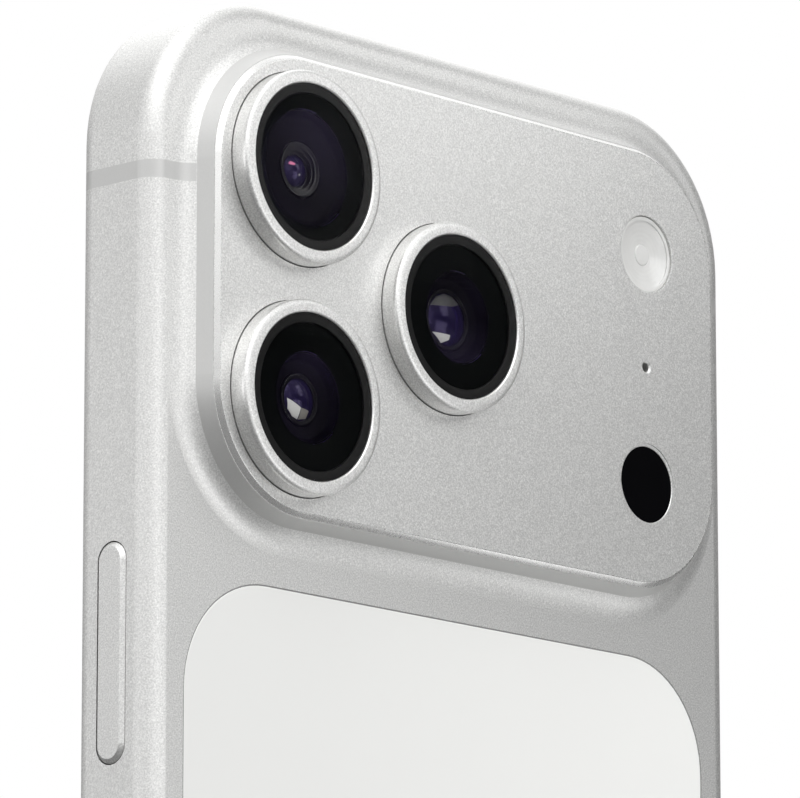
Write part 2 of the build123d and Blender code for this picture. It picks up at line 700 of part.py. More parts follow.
def flex_cables():
    """The flat flexible circuits: display to board, port to board, battery to board."""
    display = block(-24.0, -18.0, 103.6, 112.0, 2.0, 2.2, 0.5)
    port = block(-8.0, 8.0, 8.0, 22.0, 6.85, 7.0, 0.5)
    battery_lead = block(-14.1, -13.1, 60.0, 66.0, 5.3, 5.5)
    return Compound(children=[display, port, battery_lead])


def build_all():
    """Every node's solid, by name."""
    body = body_solid()
    nodes = {
        "housing": housing(body),
        "antenna_band": antenna_band(body),
        "lower_antenna_breaks": lower_band(body),
        "front_glass": front_glass(),
        "display_panel": display_panel(),
        "display_frame": display_frame(),
        "front_camera": front_camera(),
        "front_camera_lens": front_lens(),
        "face_sensor": face_sensor(),
        "earpiece_mesh": earpiece_mesh(),
        "earpiece_speaker": earpiece(),
        "rear_glass": rear_glass(),
        "plateau_plate": plateau_plate(),
        "camera_bracket": camera_bracket(),
        "flash_lens": flash_lens(),
        "flash_lamp": flash_lamp(),
        "depth_sensor_window": depth_window(),
        "depth_sensor": depth_sensor(),
        "rear_microphone": rear_microphone(),
        "key_switches": key_switches(),
        "card_tray": card_tray(),
        "card_reader": card_reader(),
        "port_shell": port_shell(),
        "port_tongue": port_tongue(),
        "bottom_screws": bottom_screws(),
        "sound_meshes": sound_meshes(),
        "loudspeaker": loudspeaker(),
        "speaker_diaphragm": speaker_diaphragm(),
        "haptic_case": haptic_case(),
        "haptic_weight": haptic_weight(),
        "battery": battery(),
        "logic_board": logic_board(),
        "board_screws": board_screws(),
        "board_shields": board_shields(),
        "vapor_chamber": vapor_chamber(),
        "charging_coil": charging_coil(),
        "coil_ferrite": coil_ferrite(),
        "holding_magnets": holding_magnets(),
        "flex_cables": flex_cables(),
    }
    for name, x, z, lens_radius, _ in CAMERAS:
        nodes[f"camera_ring_{name}"] = camera_ring(x, z)
        nodes[f"camera_glass_{name}"] = camera_glass(x, z)
        nodes[f"lens_barrel_{name}"] = lens_barrel(x, z, lens_radius)
        nodes[f"lens_{name}"] = lens_element(x, z, lens_radius)
    nodes["camera_baffles"] = Compound(children=[camera_baffle(x, z, w) for _, x, z, _, w in CAMERAS])
    for group, make in (("camera_masks", camera_mask), ("camera_bodies", camera_body)):
        nodes[group] = Compound(children=[make(x, z) for _, x, z, _, _ in CAMERAS])
    for name, side, z, length, width, proud in KEYS:
        nodes[name] = key(side, z, length, width, proud)
    return nodes


os.makedirs("parts", exist_ok=True)
for node, solid in build_all().items():
    export_step(solid, f"parts/{node}.step")
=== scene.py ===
"""Finishes and fine pieces for the slab smartphone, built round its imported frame.

The frame gives every place and overall size in metres, with the screen towards -Y and the back towards
+Y. Sizes in this script are in millimetres, and only the studio's are in metres. A depth is a distance from
the screen's face towards the back, and the camera pieces and windows are surfaces of revolution about an
axis that runs front to back.
"""

import logging
import math
from dataclasses import dataclass, field
from enum import Enum
from typing import Any, Optional, Sequence, Union

import bpy
import numpy as np
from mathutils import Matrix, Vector

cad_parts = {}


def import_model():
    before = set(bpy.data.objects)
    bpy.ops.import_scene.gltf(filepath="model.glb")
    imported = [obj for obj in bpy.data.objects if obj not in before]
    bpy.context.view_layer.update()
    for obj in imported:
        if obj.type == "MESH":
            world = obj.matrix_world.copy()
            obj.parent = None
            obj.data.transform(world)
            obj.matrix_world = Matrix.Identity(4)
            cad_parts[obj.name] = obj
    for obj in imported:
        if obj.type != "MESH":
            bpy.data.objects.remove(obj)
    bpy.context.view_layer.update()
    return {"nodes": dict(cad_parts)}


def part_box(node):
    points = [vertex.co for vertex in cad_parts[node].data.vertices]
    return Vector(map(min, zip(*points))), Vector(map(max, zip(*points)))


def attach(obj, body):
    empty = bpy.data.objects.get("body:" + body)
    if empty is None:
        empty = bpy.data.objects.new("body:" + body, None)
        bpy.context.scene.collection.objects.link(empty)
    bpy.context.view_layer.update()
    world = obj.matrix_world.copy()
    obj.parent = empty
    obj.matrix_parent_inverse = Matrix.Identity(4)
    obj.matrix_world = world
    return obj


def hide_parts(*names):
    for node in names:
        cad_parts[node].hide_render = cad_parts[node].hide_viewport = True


MM = 0.001
LOG = logging.getLogger("smartphone")

Colour = tuple[float, float, float]


class Slot(str, Enum):
    """The record's material slots, passed with the finishes of new pieces."""

    ALUMINIUM = "anodised_aluminium"
    SAPPHIRE = "camera_sapphire"
    MASK = "mask_black"
    BLACK = "black_plastic"
    LENS = "lens_glass"
    FLASH = "flash_clear"


# ---------------------------------------------------------------------------------------------
# Shader maths


class Value:
    """A number in a shader. Python's operators on it add Math nodes."""

    def __init__(self, graph: "Graph", socket: bpy.types.NodeSocket) -> None:
        """Holds a socket of a graph."""
        self.graph = graph
        self.socket = socket

    def math(self, operation: str, *others: "Operand") -> "Value":
        """One Math node, with this number as its first input.

        Args:
            operation: Blender's name for the operation.
            others: The node's other inputs, in order.

        Returns:
            The node's result.
        """
        inputs = dict(enumerate((self, *others)))
        made = self.graph.node("ShaderNodeMath", {"operation": operation}, inputs)
        return Value(self.graph, made.outputs[0])

    def __add__(self, other: "Operand") -> "Value":
        """Sum."""
        return self.math("ADD", other)

    def __mul__(self, other: "Operand") -> "Value":
        """Product."""
        return self.math("MULTIPLY", other)

    def __pow__(self, other: "Operand") -> "Value":
        """Power."""
        return self.math("POWER", other)

    def step(self, low: float, high: float) -> "Value":
        """A smooth rise from 0 at low to 1 at high."""
        made = self.graph.node(
            "ShaderNodeMapRange",
            {"interpolation_type": "SMOOTHSTEP"},
            {"Value": self, "From Min": low, "From Max": high},
        )
        return Value(self.graph, made.outputs["Result"])


Operand = Union[Value, float]


class Graph:
    """The node tree of a material or a world."""

    def __init__(self, name: str, owner: Optional[bpy.types.World] = None) -> None:
        """Clears the owner's nodes, or makes an empty material of that name."""
        self.owner = owner or bpy.data.materials.new(name)
        self.owner.use_nodes = True
        self.tree = self.owner.node_tree
        self.tree.nodes.clear()
        self._place: Optional[bpy.types.NodeSocket] = None

    def node(
        self, kind: str, settings: Optional[dict[str, Any]] = None, inputs: Optional[dict] = None
    ) -> bpy.types.Node:
        """Any node.

        Args:
            kind: The node's Blender type.
            settings: Its properties, set first.
            inputs: Values or links of its sockets, by name or index.

        Returns:
            The node.
        """
        made = self.tree.nodes.new(kind)
        for key, value in (settings or {}).items():
            setattr(made, key, value)
        for key, value in (inputs or {}).items():
            if isinstance(value, (Value, bpy.types.NodeSocket)):
                self.tree.links.new(getattr(value, "socket", value), made.inputs[key])
            elif isinstance(value, tuple) and len(value) == 3 and made.inputs[key].type == "RGBA":
                made.inputs[key].default_value = (*value, 1.0)
            else:
                made.inputs[key].default_value = value
        return made

    def place(self) -> bpy.types.NodeSocket:
        """The point in the phone's own frame, in metres."""
        if self._place is None:
            self._place = self.node("ShaderNodeTexCoord").outputs["Object"]
        return self._place

    def noise(self, size: float, detail: float = 2.0) -> Value:
        """Soft noise from 0 to 1.

        Args:
            size: The size of its features, in millimetres.
            detail: How many finer layers it has.

        Returns:
            The noise.
        """
        settings = {"Vector": self.place(), "Scale": 1 / (size * MM), "Detail": detail}
        return Value(self, self.node("ShaderNodeTexNoise", {}, settings).outputs[0])

    def cells(self, size: float) -> Value:
        """The distance to the nearest of many scattered points, from 0 to about 1."""
        made = self.node("ShaderNodeTexVoronoi", {}, {"Vector": self.place(), "Scale": 1 / (size * MM)})
        return Value(self, made.outputs["Distance"])

    def mix(self, factor: Operand, first: Any, second: Any) -> bpy.types.NodeSocket:
        """A colour between two colours."""
        made = self.node(
            "ShaderNodeMix", {"data_type": "RGBA"}, {"Factor": factor, 6: first, 7: second}
        )
        return made.outputs[2]

    def bump(self, height: Value, depth: float, strength: float = 1.0) -> bpy.types.NodeSocket:
        """The normal over a relief of that height from 0 to 1, and that depth in millimetres."""
        made = self.node(
            "ShaderNodeBump", {}, {"Height": height, "Distance": depth * MM, "Strength": strength}
        )
        return made.outputs[0]

    def principled(self, **inputs: Any) -> bpy.types.Node:
        """A Principled shader. An input's name has underscores for spaces."""
        named = {key.replace("_", " "): value for key, value in inputs.items()}
        return self.node("ShaderNodeBsdfPrincipled", {}, named)

    def finish(self, shader: bpy.types.Node) -> Union[bpy.types.Material, bpy.types.World]:
        """Links a shader to the output and returns the material or world."""
        kind = "World" if isinstance(self.owner, bpy.types.World) else "Material"
        self.node(f"ShaderNodeOutput{kind}", {}, {"Surface": shader.outputs[0]})
        return self.owner


def grey(level: float) -> Colour:
    """A neutral colour."""
    return (level, level, level)


def scaled(colour: Colour, factor: float) -> Colour:
    """A colour made lighter or darker."""
    return tuple(min(1.0, c * factor) for c in colour)


# ---------------------------------------------------------------------------------------------
# Finishes


@dataclass(frozen=True)
class BlastedMetal:
    """Bead-blasted, anodised aluminium: a fine even grain of pits with a faint sparkle."""

    name: str = "blasted_aluminium"
    colour: Colour = (0.80, 0.80, 0.79)
    roughness: float = 0.50
    wall: Optional[float] = None
    grain: float = 0.13
    dark: float = 0.77
    light: float = 1.09
    sparkle: float = 1.25
    uneven: float = 0.16
    relief: float = 0.004

    def build(self) -> bpy.types.Material:
        """Two sizes of grain lighten and darken the metal, and dimple it.

        Where a wall roughness is given, surfaces that don't face the back have it.
        """
        g = Graph(self.name)
        fine, pits = g.noise(self.grain, 3.0), g.cells(self.grain * 1.4)
        base = g.mix(fine.step(0.25, 0.75), scaled(self.colour, self.dark), scaled(self.colour, self.light))
        base = g.mix(fine.step(0.60, 0.74) * 0.5, base, scaled(self.colour, self.sparkle))
        smoothest: Operand = self.roughness - self.uneven / 2
        if self.wall is not None:
            normal = g.node("ShaderNodeTexCoord").outputs["Normal"]
            facing = Value(g, g.node("ShaderNodeSeparateXYZ", {}, {0: normal}).outputs[1])
            smoothest = facing.step(0.3, 0.95) * (self.roughness - self.wall) + (self.wall - self.uneven / 2)
        return g.finish(
            g.principled(
                Base_Color=base,
                Metallic=1.0,
                Roughness=fine * self.uneven + smoothest,
                Normal=g.bump(fine + pits * 0.5, self.relief, 0.5),
            )
        )


@dataclass(frozen=True)
class TurnedMetal:
    """Plain metal with a fine directionless wear, used for shells, screws and shields."""

    name: str
    colour: Colour
    roughness: float = 0.3
    grain: float = 0.25
    dark: float = 0.9
    light: float = 1.05
    wear: float = 0.15
    relief: float = 0.004

    def build(self) -> bpy.types.Material:
        """Noise dulls the shine here and there, and a slower one varies the tone."""
        g = Graph(self.name)
        fine, slow = g.noise(self.grain, 3.0), g.noise(self.grain * 12)
        return g.finish(
            g.principled(
                Base_Color=g.mix(slow, scaled(self.colour, self.dark), scaled(self.colour, self.light)),
                Metallic=1.0,
                Roughness=fine * self.wear + self.roughness,
                Normal=g.bump(fine, self.relief, 0.3),
            )
        )


@dataclass(frozen=True)
class MouldedPlastic:
    """Moulded plastic with a fine spark-eroded texture."""

    name: str
    colour: Colour
    roughness: float = 0.5
    grain: float = 0.12
    metallic: float = 0.0
    dark: float = 0.93
    light: float = 1.05
    uneven: float = 0.12
    relief: float = 0.004

    def build(self) -> bpy.types.Material:
        """Noise varies the tone a little, the roughness, and the surface's height."""
        g = Graph(self.name)
        fine = g.noise(self.grain, 3.0)
        return g.finish(
            g.principled(
                Base_Color=g.mix(fine, scaled(self.colour, self.dark), scaled(self.colour, self.light)),
                Metallic=self.metallic,
                Roughness=fine * self.uneven + (self.roughness - self.uneven / 2),
                Specular_IOR_Level=0.45,
                Normal=g.bump(fine, self.relief, 0.4),
            )
        )


@dataclass(frozen=True)
class EtchedGlass:
    """Matte glass coloured from behind: an even tone under a satin etched surface."""

    name: str = "etched_rear_glass"
    colour: Colour = (0.905, 0.907, 0.889)
    dark: float = 0.985
    light: float = 1.012
    grain: float = 0.06
    cloud: float = 9.0
    smoothest: float = 0.36
    uneven: float = 0.10
    relief: float = 0.0015

    def build(self) -> bpy.types.Material:
        """A very fine etch in the surface's height, and a faint cloud in the tone."""
        g = Graph(self.name)
        etch = g.noise(self.grain)
        tone = g.noise(self.cloud) * 0.5 + etch * 0.5
        return g.finish(
            g.principled(
                Base_Color=g.mix(tone, scaled(self.colour, self.dark), scaled(self.colour, self.light)),
                Roughness=etch * self.uneven + self.smoothest,
                Specular_IOR_Level=0.5,
                Normal=g.bump(etch, self.relief, 0.35),
            )
        )


@dataclass(frozen=True)
class Gloss:
    """A glossy dark print, window or coating, with a faint haze in its shine."""

    name: str
    colour: Colour
    roughness: float = 0.08
    level: float = 0.25
    tint: Colour = (1.0, 1.0, 1.0)
    cloud: float = 2.5
    dark: float = 0.85
    light: float = 1.1
    haze: float = 0.05

    def build(self) -> bpy.types.Material:
        """Slow noise stands for the haze."""
        g = Graph(self.name)
        cloud = g.noise(self.cloud, 3.0)
        return g.finish(
            g.principled(
                Base_Color=g.mix(cloud, scaled(self.colour, self.dark), scaled(self.colour, self.light)),
                Roughness=cloud * self.haze + self.roughness,
                Specular_IOR_Level=self.level,
                Specular_Tint=(*self.tint, 1.0),
            )
        )


@dataclass(frozen=True)
class ClearCover:
    """A thin clear cover: what is behind it shows, under a weak or strong reflection."""

    name: str
    ior: float
    tint: Colour = (1.0, 1.0, 1.0)
    roughness: float = 0.01

    def build(self) -> bpy.types.Material:
        """Fresnel's law shares the light between the reflection and what is behind."""
        g = Graph(self.name)
        behind = g.node("ShaderNodeBsdfTransparent", {}, {"Color": grey(1.0)})
        shine = g.node(
            "ShaderNodeBsdfGlossy", {}, {"Color": self.tint, "Roughness": self.roughness}
        )
        share = g.node("ShaderNodeFresnel", {}, {"IOR": self.ior})
        both = g.node(
            "ShaderNodeMixShader", {}, {0: share.outputs[0], 1: behind.outputs[0], 2: shine.outputs[0]}
        )
        return g.finish(both)


@dataclass(frozen=True)
class FrostedLens:
    """Moulded translucent plastic that glows a little with the light that enters it."""

    name: str = "frosted_flash"
    colour: Colour = (0.94, 0.94, 0.925)
    dark: float = 0.92
    cloud: float = 0.9
    smoothest: float = 0.16
    uneven: float = 0.08

    def build(self) -> bpy.types.Material:
        """A soft body under a clear polished skin."""
        g = Graph(self.name)
        cloud = g.noise(self.cloud)
        return g.finish(
            g.principled(
                Base_Color=g.mix(cloud, scaled(self.colour, self.dark), self.colour),
                Roughness=cloud * self.uneven + self.smoothest,
                Transmission_Weight=0.25,
                IOR=1.49,
                Coat_Weight=0.6,
                Coat_Roughness=0.05,
            )
        )


@dataclass(frozen=True)
class Woven:
    """A fine woven wire mesh, as a relief of crossing threads, with painted shade darkening the gaps between
    them.
    """

    name: str = "woven_mesh"
    colour: Colour = (0.18, 0.18, 0.185)
    gap_shade: float = 0.25
    pitch: float = 0.16
    relief: float = 0.03

    def build(self) -> bpy.types.Material:
        """Two crossing sine waves give the threads, and the colour is painted darker where they are low, as
        shade in the gaps.
        """
        g = Graph(self.name)
        axes = g.node("ShaderNodeSeparateXYZ", {}, {0: g.place()})
        turn = 2 * math.pi / (self.pitch * MM)
        across = Value(g, axes.outputs[0])
        along = Value(g, axes.outputs[1]) + Value(g, axes.outputs[2])
        waves = [(line * turn).math("SINE") * 0.5 + 0.5 for line in (across, along)]
        height = waves[0] * waves[1]
        return g.finish(
            g.principled(
                # Painted shade: the colour falls to a quarter in the low gaps between the threads.
                Base_Color=g.mix(height, scaled(self.colour, self.gap_shade), self.colour),
                Metallic=0.7,
                Roughness=height * 0.1 + 0.35,
                Normal=g.bump(height, self.relief, 0.6),
            )
        )


# ---------------------------------------------------------------------------------------------
# Surfaces


def soften(points: Sequence[Sequence[float]], steps: int = 6) -> np.ndarray:
    """A profile with its corners rounded.

    Each point is (radius, depth) or (radius, depth, rounding). A corner with a rounding becomes a
    quadratic Bezier arc that starts and ends that far along the two runs that meet there.

    Args:
        points: The profile's corners, in order.
        steps: How many runs an arc has.

    Returns:
        The rounded profile, one (radius, depth) row for each point.
    """
    corners = np.array([p[:2] for p in points], float)
    rounding = [p[2] if len(p) > 2 else 0.0 for p in points]
    share = np.linspace(0, 1, steps + 1)[:, None]
    rows: list[np.ndarray] = []
    for i, corner in enumerate(corners):
        if rounding[i] <= 0:
            rows.append(corner[None])
            continue
        before, after = corners[i - 1] - corner, corners[(i + 1) % len(corners)] - corner
        start = corner + before / np.linalg.norm(before) * rounding[i]
        end = corner + after / np.linalg.norm(after) * rounding[i]
        rows.append((1 - share) ** 2 * start + 2 * share * (1 - share) * corner + share**2 * end)
    return np.concatenate(rows)


def grid_faces(rows: int, columns: int, closed_rows: bool) -> np.ndarray:
    """The four corners of each face of a grid whose columns wrap round.

    Args:
        rows: How many rows of points.
        columns: How many points in a row.
        closed_rows: Whether the last row joins the first.

    Returns:
        One row of four indices for each face.
    """
    row = np.arange(rows if closed_rows else rows - 1)[:, None]
    column = np.arange(columns)[None]
    following, beside = (row + 1) % rows, (column + 1) % columns
    corners = (row * columns + column, row * columns + beside, following * columns + beside)
    return np.stack([*corners, following * columns + column], -1).reshape(-1, 4)


class Piece:
    """One new mesh piece: a closed surface worked out as arrays."""

    def __init__(self, name: str) -> None:
        """Starts an empty piece of that name."""
        self.name = name
        self.points = np.zeros((0, 3))
        self.faces: list[list[int]] = []

    def wrap(self, loops: np.ndarray) -> "Piece":
        """Lays the surface through closed loops of points.

        When the first and last loops are single points repeated, they close in two poles. Otherwise
        the last loop joins the first.

        Args:
            loops: Points in metres, as loops x points x 3.

        Returns:
            The piece.
        """
        poles = np.ptp(loops[0], 0).max() < 1e-9 and np.ptp(loops[-1], 0).max() < 1e-9
        body = loops[1:-1] if poles else loops
        rows, columns = body.shape[:2]
        points = body.reshape(-1, 3)
        faces = grid_faces(rows, columns, not poles).tolist()
        if poles:
            around, beside = np.arange(columns), np.roll(np.arange(columns), -1)
            tips, end = (rows * columns, rows * columns + 1), (rows - 1) * columns
            faces += np.stack([np.full(columns, tips[0]), beside, around], -1).tolist()
            faces += np.stack([np.full(columns, tips[1]), end + around, end + beside], -1).tolist()
            points = np.concatenate([points, loops[0, :1], loops[-1, :1]])
        self.points, self.faces = points, faces
        return self

    def lathe(self, profile: np.ndarray, centre: Vector, columns: int = 160) -> "Piece":
        """Turns a profile about an axis that runs front to back.

        A point is centre + (radius cos u, depth, radius sin u), with u from 0 to a full turn.

        Args:
            profile: Rows of (radius, depth), in millimetres, the depth counted from the centre's Y.
            centre: A point on the axis, in metres.
            columns: How many steps make a full turn.

        Returns:
            The piece.
        """
        radius, depth = profile[:, :1] * MM, profile[:, 1:] * MM
        turn = np.linspace(0, 2 * math.pi, columns, endpoint=False)
        loops = np.stack([radius * np.cos(turn), depth + 0 * turn, radius * np.sin(turn)], -1)
        return self.wrap(loops + np.array(centre))

    def make(self, body: str, finish: bpy.types.Material, slot: Slot, crease: float) -> bpy.types.Object:
        """Makes the object.

        Args:
            body: The CAD body that it rides on.
            finish: Its material.
            slot: The record's material slot of its finish; not used.
            crease: Edges sharper than this many degrees stay sharp.

        Returns:
            The object.
        """
        mesh = bpy.data.meshes.new(self.name)
        mesh.from_pydata(self.points, [], self.faces)
        mesh.validate()
        face_outwards(mesh)
        mesh.shade_smooth()
        mesh.set_sharp_from_angle(angle=math.radians(crease))
        mesh.materials.append(finish)
        made = bpy.data.objects.new(self.name, mesh)
        bpy.context.scene.collection.objects.link(made)
        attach(made, body)
        LOG.info("%s: %d faces on %s", self.name, len(mesh.polygons), body)
        return made


def face_outwards(mesh: bpy.types.Mesh) -> None:
    """Turns a closed mesh's faces outwards if its signed volume is negative."""
    mesh.calc_loop_triangles()
    points = np.zeros(len(mesh.vertices) * 3)
    mesh.vertices.foreach_get("co", points)
    corners = np.zeros(len(mesh.loop_triangles) * 3, int)
    mesh.loop_triangles.foreach_get("vertices", corners)
    a, b, c = (points.reshape(-1, 3)[corners.reshape(-1, 3)[:, i]] for i in range(3))
    if np.einsum("ij,ij->i", a, np.cross(b, c)).sum() < 0:
        mesh.flip_normals()


def framed(node: str, inset: float, corner: float, profile: np.ndarray, columns: int = 96) -> np.ndarray:
    """A profile carried round the rounded rectangle of a flat node.

    A point is the middle of the nearest corner's arc + (corner radius + offset) (cos u, sin u). The angle
    u takes half a step at each end of a quarter turn, so that no point lies between two corners.

    Args:
        node: The CAD node whose box gives the rectangle.
        inset: How far the outline is inside the box, in millimetres.
        corner: The outline's corner radius, in millimetres.
        profile: Rows of (offset outwards, depth), in millimetres.
        columns: How many points go round, a multiple of 4.

    Returns:
        Points in metres, as loops x points x 3.
    """
    low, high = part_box(node)
    turn = np.linspace(0, 2 * math.pi, columns, endpoint=False) + math.pi / columns
    way = np.stack([np.cos(turn), np.sin(turn)], 1)
    half = np.array([high.x - low.x, high.z - low.z]) / 2 - (inset + corner) * MM
    middle = np.sign(way) * half + ((low.x + high.x) / 2, (low.z + high.z) / 2)
    flat = middle + way * (corner + profile[:, :1, None]) * MM
    depth = np.broadcast_to(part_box("front_glass")[0].y + profile[:, 1:] * MM, flat.shape[:2])
    return np.stack([flat[..., 0], depth, flat[..., 1]], -1)


def paint(node: bpy.types.Object, finish: bpy.types.Material) -> None:
    """Gives a CAD node its finish."""
    if not node.material_slots:
        node.data.materials.append(finish)
    for place in node.material_slots:
        place.material = finish


# ---------------------------------------------------------------------------------------------
# Sub-assemblies


@dataclass
class Phone:
    """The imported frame, with the finishes and sizes that several sub-assemblies share."""

    nodes: dict[str, bpy.types.Object]
    finishes: dict[str, bpy.types.Material] = field(default_factory=dict)
    plate_face: float = 11.4
    skin: float = 0.006

    def __post_init__(self) -> None:
        """Builds every finish once."""
        everything = (
            BlastedMetal(),
            # The rings' aluminium is painted a little lighter than the housing's, as painted light for the
            # brighter faces the rings show.
            BlastedMetal("blasted_ring_painted_lighter", (0.85, 0.85, 0.84), wall=0.34),
            BlastedMetal("blasted_rim", wall=0.20),
            TurnedMetal("cut_edge", (0.82, 0.82, 0.81), 0.20),
            MouldedPlastic("antenna_plastic", (0.62, 0.62, 0.612), 0.42, metallic=0.6),
            MouldedPlastic("black_plastic", grey(0.012), 0.42),
            MouldedPlastic("gasket", grey(0.30), 0.6),
            EtchedGlass(),
            Gloss("mask_print", grey(0.012), 0.35, 0.1),
            Gloss("window_print", (0.0016, 0.0020, 0.0021), 0.35, 0.02),
            Gloss("well_black", (0.0015, 0.0013, 0.0022), 0.4, 0.03),
            Gloss("barrel_black", (0.0035, 0.0035, 0.0037), 0.16, 0.25),
            # Painted reflections: fixed pale, dim, smoky and rose colours for patches laid on the rear lenses
            # where their highlights and reflections show.
            MouldedPlastic("painted_pale_reflection", (0.62, 0.62, 0.60), 0.4),
            MouldedPlastic("painted_dim_reflection", (0.20, 0.19, 0.17), 0.4),
            MouldedPlastic("painted_smoke_reflection", (0.055, 0.055, 0.053), 0.4),
            MouldedPlastic("painted_rose_reflection", (0.75, 0.20, 0.38), 0.4),
            Gloss("sensor_window", (0.003, 0.003, 0.0035), 0.1, 0.03),
            Gloss("display_black", (0.002, 0.002, 0.0025), 0.12, 0.3),
            ClearCover("sapphire_cover", 1.04),
            ClearCover("dome_coating", 1.08, (0.60, 0.48, 1.0), 0.3),
            ClearCover("front_cover", 1.5),
            Gloss("lens_violet", (0.010, 0.007, 0.030), 0.06, 0.3, (0.6, 0.5, 1.0)),
            FrostedLens(),
            Woven(),
            TurnedMetal("steel", (0.55, 0.55, 0.56)),
            TurnedMetal("dark_metal", (0.05, 0.05, 0.052), 0.4),
            TurnedMetal("tungsten", (0.30, 0.30, 0.32), 0.35),
            TurnedMetal("copper", (0.80, 0.42, 0.24), 0.25),
            TurnedMetal("gold_contacts", (0.85, 0.62, 0.28), 0.25),
            MouldedPlastic("ferrite", grey(0.05), 0.6),
            MouldedPlastic("circuit_board", (0.012, 0.035, 0.028), 0.35, 0.8),
            MouldedPlastic("flex_film", (0.35, 0.15, 0.03), 0.3, 0.6),
            MouldedPlastic("phosphor", (0.80, 0.72, 0.36), 0.6),
            MouldedPlastic("battery_wrap", grey(0.03), 0.45, 0.5),
        )
        self.finishes = {finish.name: finish.build() for finish in everything}

    def dress(self, **groups: Sequence[str]) -> None:
        """Gives CAD nodes their finishes.

        Args:
            groups: For each finish's name, the nodes that have it.
        """
        for name, members in groups.items():
            for node in members:
                paint(self.nodes[node], self.finishes[name])
            LOG.info("%s on %s", name, ", ".join(members))

    def axis(self, node: str) -> Vector:
        """A point on a round node's axis, level with the screen's face."""
        low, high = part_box(node)
        return Vector(((low.x + high.x) / 2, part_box("front_glass")[0].y, (low.z + high.z) / 2))


@dataclass(frozen=True)
class PaintedReflection:
    """A patch of painted reflection on a front lens, given by its corners as seen from behind the phone: a
    shape of fixed colour that stands in for a highlight or reflection the lens shows.

    A corner is (to the left, up), in millimetres from the lens's axis.
    """

    corners: tuple[tuple[float, float], ...]
    finish: str


@dataclass(frozen=True)
class Lens:
    """One camera's dome and what is under it, in millimetres.

    The steps are (radius, drop) pairs, from the tip of the barrel's nose in to the front lens. A dome with
    a negative rise is a bowl.
    """

    dome_radius: float
    dome_edge: float
    dome_rise: float
    nose: float
    steps: tuple[tuple[float, float], ...]
    radius: float
    rise: float
    # Patches of painted reflection laid on the front lens.
    painted_reflections: tuple[PaintedReflection, ...] = ()


